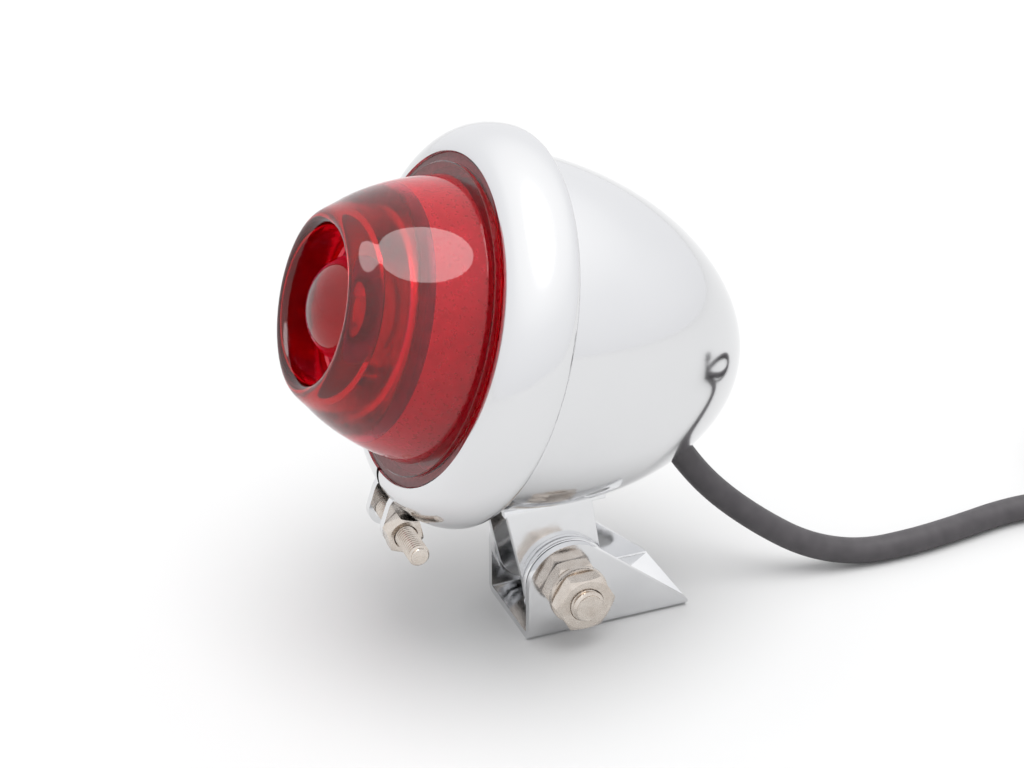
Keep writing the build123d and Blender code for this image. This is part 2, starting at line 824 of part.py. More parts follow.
with BuildPart() as bulb_glass:
    with BuildSketch(lamp_section):
        with BuildLine():
            for wall in (0, glass_wall):
                Bezier(
                    (-glass_front + wall, 0),
                    (-glass_front + wall, (glass_radius - wall) * 0.56),
                    (glass_widest - 7.4, glass_radius - wall),
                    (glass_widest, glass_radius - wall),
                )
                Bezier(
                    (glass_widest, glass_radius - wall),
                    (glass_widest + 9.0, glass_radius - wall),
                    (cap_front - 10.0, neck_radius - wall),
                    (cap_front - 1.0, neck_radius - wall),
                )
                Line((cap_front - 1.0, neck_radius - wall), (neck_back, neck_radius - wall))
            Line((-glass_front, 0), (-glass_front + glass_wall, 0))
            Line((neck_back, neck_radius), (neck_back, neck_radius - glass_wall))
        make_face()
    revolve(axis=lamp_axis)

stem_radius = neck_radius - glass_wall - stem_clearance
with BuildPart() as bulb_stem:
    with BuildSketch(across_lamp(neck_back)):
        Circle(stem_radius)
    extrude(amount=-stem_foot_height)
    with BuildSketch(across_lamp(pinch_front + pinch_length)):
        Circle(stem_radius / 2)
    extrude(amount=neck_back - stem_foot_height - pinch_front - pinch_length)
    with BuildSketch(across_lamp(pinch_front)):
        Rectangle(2 * stem_radius, stem_radius / 2)
    extrude(amount=pinch_length)

with BuildPart() as bulb_supports:
    for station, height in zip(filament_stations, (filament_offset, -filament_offset)):
        with BuildSketch(across_lamp(pinch_front)):
            with Locations((-filament_length / 2, height), (filament_length / 2, height)):
                Circle(support_radius)
        extrude(amount=station - pinch_front)

with BuildPart() as bulb_filaments:
    for station, height in zip(filament_stations, (filament_offset, -filament_offset)):
        filament_end = lamp_origin + rear * (station - filament_radius) + up * height
        with BuildSketch(Plane(filament_end - across * (filament_length / 2), x_dir=rear, z_dir=across)):
            Circle(filament_radius)
        extrude(amount=filament_length)

# ================================================================ contact carrier
carrier_front = contact_face + plunger_proud
carrier_back = carrier_front + carrier_height
plunger_back = carrier_back + plunger_tail
with BuildPart() as contact_carrier:
    with BuildSketch(across_lamp(carrier_front)):
        Circle(barrel_radius - carrier_clearance)
        with PolarLocations(contact_spread, 2):
            Circle(plunger_radius + thread_clearance, mode=Mode.SUBTRACT)
    extrude(amount=carrier_height)

with BuildPart() as contact_plungers:
    with BuildSketch(across_lamp(contact_face)):
        with PolarLocations(contact_spread, 2):
            Circle(plunger_radius)
    extrude(amount=plunger_back - contact_face)

spring_length = barrel_back - barrel_wall - carrier_back
with BuildPart() as contact_spring:
    with BuildLine() as spring_line:
        Helix(
            pitch=(spring_length - 2 * spring_wire) / spring_turns,
            height=spring_length - 2 * spring_wire,
            radius=spring_radius,
            center=lamp_origin + rear * (carrier_back + spring_wire),
            direction=rear,
        )
    with BuildSketch(Plane(spring_line.line @ 0, z_dir=spring_line.line % 0)):
        Circle(spring_wire)
    sweep(path=spring_line.line, is_frenet=True)

# ================================================================ grommet and inner cable
flange_inner = -2 * housing_wall
with BuildPart() as cable_grommet:
    for start, height, radius in (
        (grommet_seat, grommet_flange_height - grommet_seat, grommet_flange),
        (flange_inner, grommet_seat - flange_inner, grommet_neck),
        (flange_inner, -grommet_flange_height, grommet_inner_flange),
    ):
        with BuildSketch(exit_plane(start)):
            Circle(radius)
        extrude(amount=height)
    with BuildSketch(exit_plane(grommet_flange_height)):
        Circle(cable_radius + thread_clearance)
    extrude(amount=flange_inner - 2 * grommet_flange_height, mode=Mode.SUBTRACT)

inner_reach = flange_inner - grommet_flange_height - cable_inside / 2
with BuildPart() as cable_inner_end:
    with BuildSketch(exit_plane(grommet_flange_height)):
        Circle(cable_radius)
    extrude(amount=inner_reach - grommet_flange_height)

with BuildPart() as inner_tie:
    add(
        ring(
            exit_plane(flange_inner - grommet_flange_height),
            cable_radius + tie_thickness,
            cable_radius + thread_clearance,
            -tie_width,
        )
    )


def lamp_point(side, station, height):
    """A point given across, along and above the lamp's axis."""
    return lamp_origin + across * side + rear * station + up * height


def wire(points):
    """A round insulated wire along a route of straight runs and small bends."""
    with BuildPart() as made:
        with BuildLine() as route:
            FilletPolyline(*points, radius=wire_bend)
        with BuildSketch(Plane(points[0], z_dir=points[1] - points[0])):
            Circle(wire_radius)
        sweep(path=route.line)
    return made.part


inner_end = exit_point + exit_normal * inner_reach
approach = inner_end - exit_normal * 4.5


def bulb_wire(side):
    """The route of a wire from one contact plunger to the cable's inner end."""
    return (
        lamp_point(side * contact_spread, plunger_back, 0),
        lamp_point(side * contact_spread, barrel_back + 3.5, 0),
        lamp_point(side * 2.8, barrel_back + 4.5, -5.5),
        approach + across * (side * wire_spread),
        inner_end + across * (side * wire_spread),
    )


with BuildPart() as tail_wire:
    add(wire(bulb_wire(1)))

with BuildPart() as brake_wire:
    add(wire(bulb_wire(-1)))

tab_end = -socket_rivet_circle - terminal_tab_length + wire_radius
with BuildPart() as ground_wire:
    add(
        wire(
            (
                lamp_point(0, terminal_back, tab_end),
                lamp_point(0, barrel_back - 14.0, tab_end),
                approach + exit_plane(0).y_dir * wire_spread,
                inner_end + exit_plane(0).y_dir * wire_spread,
            )
        )
    )

# ================================================================ free cable
cable_start = exit_point + exit_normal * grommet_flange_height
coil_height = cable_radius + coil_tie_thickness
coil_top = coil_height + 2 * cable_radius
coil_middle = Vector(coil_centre[0], coil_centre[1], 0)
coil_axis = Axis(coil_middle, (0, 0, 1))


def coil_plane(angle):
    """An upright plane through the coil's axis, x outwards and y up."""
    outwards = Vector(cos(radians(angle)), sin(radians(angle)), 0)
    return Plane(coil_middle, x_dir=outwards, z_dir=outwards.cross(Vector(0, 0, 1)))


def corner_radii(route):
    """The largest arcs that a route's corners allow, one for each corner."""
    radii = []
    for before, corner, after in zip(route, route[1:], route[2:]):
        arriving = corner - before
        leaving = after - corner
        half_turn = radians(arriving.get_angle(leaving)) / 2
        radii.append(0.45 * min(arriving.length, leaving.length) / tan(half_turn))
    return radii


def cable_tube(route):
    """A free stretch of cable along a route of runs and their largest arcs."""
    radii = corner_radii(route)
    with BuildPart() as made:
        with BuildLine() as centre_line:
            FilletPolyline(*route, radius=radii)
        with BuildSketch(Plane(route[0], z_dir=route[1] - route[0])):
            Circle(cable_radius)
        sweep(path=centre_line.line)
    length = sum(edge.length for edge in centre_line.edges())
    print("cable stretch", round(length, 1), "mm, radii", [round(r, 1) for r in radii])
    print("volume over section times length", made.part.volume / (pi * cable_radius**2 * length))
    return made.part


floor_run = cable_radius + 0.05
coil_join = coil_plane(-45).from_local_coords((coil_radius, coil_height, 0))
falling_route = [
    cable_start,
    cable_start + exit_normal * 7.8,
    Vector(2.0, 32.3, 24.0),
    Vector(6.1, 43.0, 15.0),
    Vector(9.5, 55.0, 7.3),
    Vector(11.6, 69.0, floor_run),
    Vector(11.9, 84.0, floor_run),
    Vector(10.2, 98.5, floor_run),
    Vector(8.1, 111.5, floor_run),
    Vector(8.3, 122.7, floor_run + 0.1),
    Vector(11.6, 133.2, floor_run + 0.2),
    Vector(17.3, 142.6, floor_run + 0.4),
    Vector(coil_join),
]
with BuildPart() as cable:
    add(cable_tube(falling_route))

with BuildPart() as cable_coil:
    with BuildSketch(coil_plane(0)):
        with Locations((coil_radius, coil_height)):
            Circle(cable_radius)
    revolve(axis=coil_axis)
    with BuildSketch(coil_plane(coil_double_from)):
        with Locations((coil_radius, coil_height)):
            Circle(cable_radius)
        with Locations((coil_radius, coil_top)):
            Circle(cable_radius)
        with Locations((coil_radius, (coil_height + coil_top) / 2)):
            Rectangle(2 * cable_radius, 2 * cable_radius)
    revolve(axis=coil_axis, revolution_arc=360 - coil_double_from)

with BuildPart() as coil_tie:
    with BuildSketch(coil_plane(coil_tie_place)):
        for thickness, mode in ((coil_tie_thickness, Mode.ADD), (0, Mode.SUBTRACT)):
            with Locations((coil_radius, coil_height), (coil_radius, coil_top)):
                Circle(cable_radius + thickness, mode=mode)
            with Locations((coil_radius, (coil_height + coil_top) / 2)):
                Rectangle(2 * (cable_radius + thickness), 2 * cable_radius, mode=mode)
    revolve(axis=coil_axis, revolution_arc=coil_tie_angle)

tail_start = coil_middle + Vector(coil_radius, 0, coil_top)
tail_route = [
    tail_start,
    tail_start + Vector(0.3, 10.0, -0.2),
    tail_start + Vector(1.3, 22.0, -2.4),
    tail_start + Vector(1.9, 34.0, -5.3),
    Vector(coil_middle.X + coil_radius + 1.3, coil_middle.Y + 44.0, plug_height / 2),
    Vector(coil_middle.X + coil_radius + 0.4, coil_middle.Y + 53.0, plug_height / 2),
]
with BuildPart() as cable_tail:
    add(cable_tube(tail_route))

# ================================================================ boot and connector
plug_direction = (tail_route[-1] - tail_route[-2]).normalized()
plug_side = plug_direction.cross(Vector(0, 0, 1))


def plug_plane(distance):
    """A plane square to the connector, at a distance from where the boot ends on its back."""
    back = tail_route[-1] + plug_direction * boot_length
    return Plane(back + plug_direction * distance, x_dir=plug_side, z_dir=plug_direction)


with BuildPart() as cable_boot:
    with BuildSketch(plug_plane(-boot_length)):
        Circle((cable_radius + boot_radius) / 2)
    with BuildSketch(plug_plane(0)):
        Circle(boot_radius)
    loft()

with BuildPart() as cable_plug:
    with BuildSketch(plug_plane(0)):
        RectangleRounded(plug_width, plug_height, plug_round)
    extrude(amount=plug_length)
    with BuildSketch(plug_plane(plug_length - plug_socket_depth)):
        with GridLocations(plug_pitch, 0, plug_ways, 1):
            Circle(plug_socket_radius)
    extrude(amount=plug_socket_depth, mode=Mode.SUBTRACT)

with BuildPart() as plug_contacts:
    with BuildSketch(plug_plane(plug_length - plug_socket_depth)):
        with GridLocations(plug_pitch, 0, plug_ways, 1):
            Circle(plug_socket_radius)
            Circle(plug_socket_radius - plug_contact_wall, mode=Mode.SUBTRACT)
    extrude(amount=plug_socket_depth * 2 / 3)

# ================================================================ files
parts = {
    "base_bracket": base_bracket,
    "pivot_bolt": pivot_bolt,
    "pivot_head_washer": pivot_head_washer,
    "pivot_inner_nut": pivot_inner_nut,
    "pivot_lock_washer": pivot_lock_washer,
    "pivot_outer_nut": pivot_outer_nut,
    "thrust_washers": thrust_washers,
    "head_bracket": head_bracket,
    "housing": housing,
    "bezel": bezel,
    "clamp_screw": clamp_screw,
    "clamp_nut": clamp_nut,
    "lens": lens,
    "lens_gasket": lens_gasket,
    "reflector": reflector,
    "socket_barrel": socket_barrel,
    "socket_rivets": socket_rivets,
    "ground_terminal": ground_terminal,
    "ground_screw": ground_screw,
    "bulb_cap": bulb_cap,
    "bulb_insulator": bulb_insulator,
    "bulb_contacts": bulb_contacts,
    "bulb_glass": bulb_glass,
    "bulb_stem": bulb_stem,
    "bulb_supports": bulb_supports,
    "bulb_filaments": bulb_filaments,
    "contact_carrier": contact_carrier,
    "contact_plungers": contact_plungers,
    "contact_spring": contact_spring,
    "tail_wire": tail_wire,
    "brake_wire": brake_wire,
    "ground_wire": ground_wire,
    "cable_grommet": cable_grommet,
    "cable_inner_end": cable_inner_end,
    "inner_tie": inner_tie,
    "cable": cable,
    "cable_coil": cable_coil,
    "coil_tie": coil_tie,
    "cable_tail": cable_tail,
    "cable_boot": cable_boot,
    "cable_plug": cable_plug,
    "plug_contacts": plug_contacts,
}
for node, made in parts.items():
    made.part.label = node
    export_step(made.part, f"parts/{node}.step")
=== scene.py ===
import json
from math import atan2, cos, hypot, pi, radians, sin, tan

import bmesh
import bpy
from mathutils import Matrix, Vector


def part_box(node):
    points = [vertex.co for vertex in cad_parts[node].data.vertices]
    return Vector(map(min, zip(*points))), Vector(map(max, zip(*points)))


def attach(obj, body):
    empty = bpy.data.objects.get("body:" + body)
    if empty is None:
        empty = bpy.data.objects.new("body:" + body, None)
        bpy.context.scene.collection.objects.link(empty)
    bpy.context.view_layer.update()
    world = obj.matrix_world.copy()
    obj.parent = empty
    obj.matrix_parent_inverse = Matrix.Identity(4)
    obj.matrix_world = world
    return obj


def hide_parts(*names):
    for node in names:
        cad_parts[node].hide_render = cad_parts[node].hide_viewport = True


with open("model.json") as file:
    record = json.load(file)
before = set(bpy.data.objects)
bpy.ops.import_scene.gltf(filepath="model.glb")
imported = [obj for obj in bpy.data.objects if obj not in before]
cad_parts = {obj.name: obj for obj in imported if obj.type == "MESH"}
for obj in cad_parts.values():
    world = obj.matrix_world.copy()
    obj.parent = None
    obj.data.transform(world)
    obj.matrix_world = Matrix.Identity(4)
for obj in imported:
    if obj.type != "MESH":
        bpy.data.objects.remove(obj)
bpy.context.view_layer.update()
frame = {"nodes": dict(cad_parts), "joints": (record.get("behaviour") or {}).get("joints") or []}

# A chrome bullet tail light with a domed red lens, standing on its folded
# bracket. Metres, +Z up. The lens looks towards -Y and a little upwards.
MM = 0.001

# ---------------------------------------------------------------- frame
joints = {joint["name"]: joint for joint in frame["joints"]}
pivot = Vector(joints["head_tilt"]["pos_m"])
across = Vector((1, 0, 0))
rear = Vector(joints["bulb_push"]["axis"]).normalized()
up = across.cross(rear)
opening_ahead_of_pivot = 50.4 * MM
axis_above_pivot = 55.8 * MM
lamp_origin = pivot - rear * opening_ahead_of_pivot + up * axis_above_pivot


def axes_matrix(origin, x_axis, y_axis, z_axis):
    """A matrix that puts a shape's own axes along the three given ones."""
    turn = Matrix((x_axis, y_axis, z_axis)).transposed().to_4x4()
    return Matrix.Translation(origin) @ turn


lamp = axes_matrix(lamp_origin, across, rear, up)


def lamp_point(side, station, height):
    """A point given in millimetres across, along and above the lamp's axis."""
    return lamp_origin + (across * side + rear * station + up * height) * MM


# ---------------------------------------------------------------- materials
def new_material(name):
    """A node material, its node tree and its principled shader."""
    material = bpy.data.materials.new(name)
    material.use_nodes = True
    tree = material.node_tree
    return material, tree, tree.nodes["Principled BSDF"]


def noise(tree, scale, detail=3.0, roughness=0.5):
    """A noise pattern in object coordinates, with scale in waves per metre."""
    place = tree.nodes.new("ShaderNodeTexCoord")
    pattern = tree.nodes.new("ShaderNodeTexNoise")
    pattern.inputs["Scale"].default_value = scale
    pattern.inputs["Detail"].default_value = detail
    pattern.inputs["Roughness"].default_value = roughness
    tree.links.new(place.outputs["Object"], pattern.inputs["Vector"])
    return pattern.outputs["Fac"]


def between(tree, source, low, high, at=(0.35, 0.65)):
    """A number that runs from low to high as the pattern runs between two values."""
    ramp = tree.nodes.new("ShaderNodeMapRange")
    ramp.inputs["From Min"].default_value = at[0]
    ramp.inputs["From Max"].default_value = at[1]
    ramp.inputs["To Min"].default_value = low
    ramp.inputs["To Max"].default_value = high
    tree.links.new(source, ramp.inputs["Value"])
    return ramp.outputs["Result"]


def bump(tree, shader, source, strength, distance):
    """Raises the shader's surface by a pattern, distance in metres."""
    node = tree.nodes.new("ShaderNodeBump")
    node.inputs["Strength"].default_value = strength
    node.inputs["Distance"].default_value = distance
    tree.links.new(source, node.inputs["Height"])
    tree.links.new(node.outputs["Normal"], shader.inputs["Normal"])


def colours(tree, source, stops):
    """A colour ramp over a pattern, stops as (place, colour)."""
    ramp = tree.nodes.new("ShaderNodeValToRGB")
    elements = ramp.color_ramp.elements
    while len(elements) < len(stops):
        elements.new(0.5)
    for element, (place, colour) in zip(elements, stops):
        element.position = place
        element.color = (*colour, 1)
    tree.links.new(source, ramp.inputs["Fac"])
    return ramp.outputs["Color"]


def tinted(tree, shader, source, dark, light):
    """Colours the shader from a dark to a light tone over a pattern."""
    tree.links.new(colours(tree, source, ((0.3, dark), (0.7, light))), shader.inputs["Base Color"])


def chrome_plate():
    """Show chrome over pressed steel, with a faint haze and shallow polishing waves."""
    material, tree, shader = new_material("chrome_plate")
    shader.inputs["Metallic"].default_value = 1.0
    tinted(tree, shader, noise(tree, 22.0), (0.690, 0.693, 0.702), (0.722, 0.724, 0.732))
    haze = noise(tree, 70.0, 4.0)
    tree.links.new(between(tree, haze, 0.085, 0.13), shader.inputs["Roughness"])
    bump(tree, shader, noise(tree, 40.0, 2.0), 0.06, 0.4 * MM)
    return material


def folded_chrome():
    """Chrome on the folded brackets, less polished than the bullet, with rolling marks."""
    material, tree, shader = new_material("folded_chrome")
    shader.inputs["Metallic"].default_value = 1.0
    tinted(tree, shader, noise(tree, 90.0), (0.700, 0.705, 0.716), (0.755, 0.758, 0.767))
    marks = noise(tree, 420.0, 5.0, 0.6)
    tree.links.new(between(tree, marks, 0.11, 0.18), shader.inputs["Roughness"])
    bump(tree, shader, noise(tree, 110.0, 3.0), 0.12, 0.2 * MM)
    return material


def nickel_plate():
    """Nickel on the bolts, nuts and washers: warm, with turning marks and small pits."""
    material, tree, shader = new_material("nickel_plate")
    shader.inputs["Metallic"].default_value = 1.0
    tinted(tree, shader, noise(tree, 300.0), (0.545, 0.485, 0.430), (0.665, 0.610, 0.555))
    wear = noise(tree, 2600.0, 4.0)
    tree.links.new(between(tree, wear, 0.17, 0.30), shader.inputs["Roughness"])
    bump(tree, shader, wear, 0.10, 0.012 * MM)
    return material


def lens_tint(tree, shader):
    """What every red part of the lens shares: its refraction and how it darkens with depth."""
    shader.inputs["IOR"].default_value = 1.49
    depth = tree.nodes.new("ShaderNodeVolumeAbsorption")
    depth.inputs["Color"].default_value = (0.93, 0.22, 0.42, 1)
    depth.inputs["Density"].default_value = 300.0
    tree.links.new(depth.outputs["Volume"], tree.nodes["Material Output"].inputs["Volume"])


def red_lens_plastic():
    """Clear red moulded plastic that darkens with the thickness it is seen through."""
    material, tree, shader = new_material("red_lens_plastic")
    tinted(tree, shader, noise(tree, 60.0), (0.97, 0.18, 0.36), (1.0, 0.22, 0.40))
    shader.inputs["Transmission Weight"].default_value = 1.0
    shader.inputs["Specular IOR Level"].default_value = 0.36
    tree.links.new(between(tree, noise(tree, 200.0, 2.0), 0.015, 0.04), shader.inputs["Roughness"])
    bump(tree, shader, noise(tree, 120.0, 2.0), 0.05, 0.3 * MM)
    lens_tint(tree, shader)
    return material


def inner_lens_plastic(name, dark, light, clearness, rough):
    """One of the lens's inner faces, with fine moulded optics that spread the light."""
    material, tree, shader = new_material(name)
    tinted(tree, shader, noise(tree, 320.0), dark, light)
    shader.inputs["Transmission Weight"].default_value = clearness
    grain = noise(tree, 900.0, 3.0)
    tree.links.new(between(tree, grain, *rough), shader.inputs["Roughness"])
    bump(tree, shader, grain, 0.35, 0.12 * MM)
    lens_tint(tree, shader)
    return material


def pebbled_aluminium():
    """Bright reflector sheet, hammered all over to scatter the bulb's light."""
    material, tree, shader = new_material("pebbled_aluminium")
    shader.inputs["Metallic"].default_value = 1.0
    tinted(tree, shader, noise(tree, 700.0, 4.0, 0.65), (0.80, 0.80, 0.80), (0.97, 0.97, 0.97))
    place = tree.nodes.new("ShaderNodeTexCoord")
    pebbles = tree.nodes.new("ShaderNodeTexVoronoi")
    pebbles.feature = "SMOOTH_F1"
    pebbles.inputs["Scale"].default_value = 520.0
    tree.links.new(place.outputs["Object"], pebbles.inputs["Vector"])
    height = pebbles.outputs["Distance"]
    tree.links.new(between(tree, height, 0.40, 0.60, (0, 0.6)), shader.inputs["Roughness"])
    bump(tree, shader, height, 0.9, 0.6 * MM)
    return material


def dull_surface(name, dark, light, scale, rough, height, metallic=0.0):
    """A plain rubber, plastic or metal with its own grain."""
    material, tree, shader = new_material(name)
    shader.inputs["Metallic"].default_value = metallic
    tinted(tree, shader, noise(tree, scale, 4.0), dark, light)
    grain = noise(tree, scale * 4, 5.0, 0.6)
    tree.links.new(between(tree, grain, *rough), shader.inputs["Roughness"])
    bump(tree, shader, grain, 0.3, height * MM)
    return material


def clear_glass():
    """The bulb's thin clear glass."""
    material, tree, shader = new_material("clear_glass")
    shader.inputs["Base Color"].default_value = (0.98, 0.98, 0.98, 1)
    shader.inputs["Transmission Weight"].default_value = 1.0
    shader.inputs["IOR"].default_value = 1.5
    tree.links.new(between(tree, noise(tree, 150.0, 2.0), 0.01, 0.05), shader.inputs["Roughness"])
    return material


chrome = chrome_plate()
bracket_chrome = folded_chrome()
nickel = nickel_plate()
red_plastic = red_lens_plastic()
stippled_red = inner_lens_plastic(
    "stippled_lens_plastic", (0.86, 0.022, 0.105), (0.99, 0.034, 0.145), 0.36, (0.25, 0.40)
)
# Painted shade: a darker copy of the inner lens plastic that stands in for the darker look through the
# lens's thick solid front.
painted_shade_red = inner_lens_plastic(
    "painted_shade_lens_plastic", (0.34, 0.012, 0.035), (0.62, 0.022, 0.075), 0.62, (0.12, 0.22)
)
pebbled = pebbled_aluminium()
glass = clear_glass()
jacket = dull_surface(
    "cable_jacket", (0.036, 0.032, 0.036), (0.052, 0.047, 0.051),
    260.0, (0.42, 0.58), 0.03,
)
foam = dull_surface(
    "grey_foam_rubber", (0.36, 0.355, 0.35), (0.50, 0.49, 0.48),
    900.0, (0.75, 0.9), 0.05,
)
rubber = dull_surface(
    "black_rubber", (0.018, 0.018, 0.018), (0.035, 0.035, 0.035),
    220.0, (0.55, 0.75), 0.04,
)
nylon = dull_surface(
    "black_nylon", (0.014, 0.014, 0.015), (0.028, 0.028, 0.030),
    400.0, (0.35, 0.5), 0.03,
)
board = dull_surface(
    "phenolic_board", (0.10, 0.045, 0.02), (0.17, 0.08, 0.035),
    500.0, (0.4, 0.6), 0.03,
)
brass = dull_surface(
    "bright_brass", (0.62, 0.44, 0.20), (0.75, 0.57, 0.30),
    300.0, (0.2, 0.35), 0.02, 1.0,
)
zinc = dull_surface(
    "zinc_plate", (0.52, 0.51, 0.48), (0.68, 0.67, 0.64),
    350.0, (0.28, 0.42), 0.02, 1.0,
)
bare_wire = dull_surface(
    "bare_wire", (0.34, 0.33, 0.32), (0.50, 0.49, 0.47),
    600.0, (0.25, 0.4), 0.01, 1.0,
)
brown_wire = dull_surface(
    "brown_insulation", (0.10, 0.035, 0.015), (0.14, 0.05, 0.02),
    300.0, (0.35, 0.5), 0.01,
)
red_wire = dull_surface(
    "red_insulation", (0.45, 0.02, 0.015), (0.55, 0.03, 0.02),
    300.0, (0.35, 0.5), 0.01,
)
black_wire = dull_surface(
    "black_insulation", (0.012, 0.012, 0.012), (0.025, 0.025, 0.025),
    300.0, (0.35, 0.5), 0.01,
)

node_materials = {
    chrome: ("housing", "bezel"),
    bracket_chrome: ("base_bracket", "head_bracket"),
    nickel: (
        "pivot_bolt", "pivot_head_washer", "pivot_inner_nut", "pivot_lock_washer",
        "pivot_outer_nut", "thrust_washers", "clamp_screw", "clamp_nut",
    ),
    red_plastic: ("lens",),
    foam: ("lens_gasket",),
    rubber: ("cable_grommet", "cable_boot"),
    pebbled: ("reflector",),
    zinc: ("socket_barrel", "socket_rivets", "ground_screw", "bulb_contacts"),
    brass: ("ground_terminal", "bulb_cap", "contact_plungers", "plug_contacts"),
    board: ("bulb_insulator", "contact_carrier"),
    glass: ("bulb_glass", "bulb_stem"),
    bare_wire: ("bulb_supports", "bulb_filaments", "contact_spring"),
    brown_wire: ("tail_wire",),
    red_wire: ("brake_wire",),
    black_wire: ("ground_wire",),
    jacket: ("cable_inner_end", "cable", "cable_coil", "cable_tail"),
    nylon: ("inner_tie", "coil_tie", "cable_plug"),
}
for material, nodes in node_materials.items():
    for node in nodes:
        for material_slot in frame["nodes"][node].material_slots:
            material_slot.material = material

# ---------------------------------------------------------------- camera
camera = bpy.data.objects.new("camera", bpy.data.cameras.new("camera"))
bpy.context.scene.collection.objects.link(camera)
bpy.context.scene.camera = camera
camera.data.lens = 79.1
camera.data.sensor_width = 36.0
camera.location = (0.42050, -0.19021, 0.30015)
camera.rotation_mode = "QUATERNION"
camera.rotation_quaternion = Vector((-0.821, 0.3325, -0.4641)).to_track_quat("-Z", "Y")
camera.data.clip_start = 0.01
camera.data.clip_end = 50.0

# ---------------------------------------------------------------- floor and light
floor_mesh = bpy.data.meshes.new("floor")
floor_shape = bmesh.new()
bmesh.ops.create_grid(floor_shape, x_segments=1, y_segments=1, size=3.0)
floor_shape.to_mesh(floor_mesh)
floor_shape.free()
floor = bpy.data.objects.new("floor", floor_mesh)
bpy.context.scene.collection.objects.link(floor)
floor_paper, _, floor_shader = new_material("floor_paper")
floor_shader.inputs["Base Color"].default_value = (0.53, 0.53, 0.53, 1)
floor_shader.inputs["Roughness"].default_value = 0.9
floor_shader.inputs["Specular IOR Level"].default_value = 0.05
floor_mesh.materials.append(floor_paper)

soft_box = bpy.data.lights.new("overhead_soft_box", "AREA")
soft_box.shape = "ELLIPSE"
soft_box.size = 6.0
soft_box.size_y = 4.6
soft_box.energy = 340.0
soft_box_light = bpy.data.objects.new("overhead_soft_box", soft_box)
soft_box_light.location = (1.38, -0.17, 6.06)
bpy.context.scene.collection.objects.link(soft_box_light)

world = bpy.data.worlds.new("studio")
bpy.context.scene.world = world
world.use_nodes = True
backdrop = world.node_tree.nodes["Background"]
backdrop.inputs["Strength"].default_value = 1.36
direction = world.node_tree.nodes.new("ShaderNodeTexCoord")
height = world.node_tree.nodes.new("ShaderNodeSeparateXYZ")
world.node_tree.links.new(direction.outputs["Generated"], height.inputs["Vector"])
sky = colours(
    world.node_tree,
    height.outputs["Z"],
    ((0.0, (0.755, 0.757, 0.770)), (0.10, (0.780, 0.782, 0.795)), (0.42, (0.835, 0.838, 0.850)),
     (0.67, (0.935, 0.936, 0.943)), (0.95, (1.0, 1.0, 1.0))),
)
world.node_tree.links.new(sky, backdrop.inputs["Color"])
bpy.context.scene.view_settings.view_transform = "Standard"

# ---------------------------------------------------------------- making pieces


def made_piece(name, shape, material, body, nodes=(), sharp=38.0):
    """Turns a bmesh into a smooth-shaded piece that rides on a body."""
    mesh = bpy.data.meshes.new(name)
    shape.to_mesh(mesh)
    shape.free()
    mesh.materials.append(material)
    mesh.shade_smooth()
    mesh.set_sharp_from_angle(angle=radians(sharp))
    piece = bpy.data.objects.new(name, mesh)
    bpy.context.scene.collection.objects.link(piece)
    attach(piece, body)
    if nodes:
        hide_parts(*nodes)
    return piece


def curve_points(start, near_start, near_end, end, count=14):
    """Points along a Bezier curve, its ends included."""
    points = []
    for step in range(count + 1):
        t = step / count
        weights = ((1 - t) ** 3, 3 * (1 - t) ** 2 * t, 3 * (1 - t) * t * t, t**3)
        corners = (start, near_start, near_end, end)
        points.append(tuple(sum(w * c[k] for w, c in zip(weights, corners)) for k in (0, 1)))
    return points


def joined_outline(*stretches):
    """One outline from several stretches, with the points that they share once."""
    points = []
    for stretch in stretches:
        for point in stretch:
            if not points or hypot(point[0] - points[-1][0], point[1] - points[-1][1]) > 1e-4:
                points.append(point)
    return points


def rounded_section(start, end, inner, outer, edge):
    """A rectangle of stations and radii with its four corners turned off."""
    small = 0.3 * edge
    return [
        (start, inner + edge), (start, outer - edge), (start + small, outer - small),
        (start + edge, outer), (end - edge, outer), (end - small, outer - small),
        (end, outer - edge), (end, inner + edge), (end - small, inner + small),
        (end - edge, inner), (start + edge, inner), (start + small, inner + small),
    ]


def turned(outline, matrix, steps=96, closed=True, angle=2 * pi, begin=0.0, rise=0.0):
    """Spins an outline of (station, radius) in millimetres about a matrix's own Y axis."""
    shape = bmesh.new()
    corners = [shape.verts.new((0, s * MM, r * MM)) for s, r in outline]
    edges = [shape.edges.new(pair) for pair in zip(corners, corners[1:])]
    if closed:
        edges.append(shape.edges.new((corners[-1], corners[0])))
    bmesh.ops.rotate(shape, verts=corners, cent=(0, 0, 0), matrix=Matrix.Rotation(begin, 3, "Y"))
    whole = angle > 2 * pi - 1e-6 and rise == 0
    bmesh.ops.spin(
        shape, geom=corners + edges, cent=(0, 0, 0), axis=(0, 1, 0), angle=angle,
        dvec=(0, rise * MM / steps, 0), steps=steps, use_merge=whole,
    )
    bmesh.ops.remove_doubles(shape, verts=shape.verts, dist=0.002 * MM)
    if not whole:
        bmesh.ops.holes_fill(shape, edges=[e for e in shape.edges if e.is_boundary])
    bmesh.ops.recalc_face_normals(shape, faces=shape.faces)
    bmesh.ops.transform(shape, matrix=matrix, verts=shape.verts)
    return shape


def with_added(shape, *others):
    """The first shape with the others' faces put into it."""
    for other in others:
        carrier = bpy.data.meshes.new("carrier")
        other.to_mesh(carrier)
        other.free()
        shape.from_mesh(carrier)
        bpy.data.meshes.remove(carrier)
    return shape


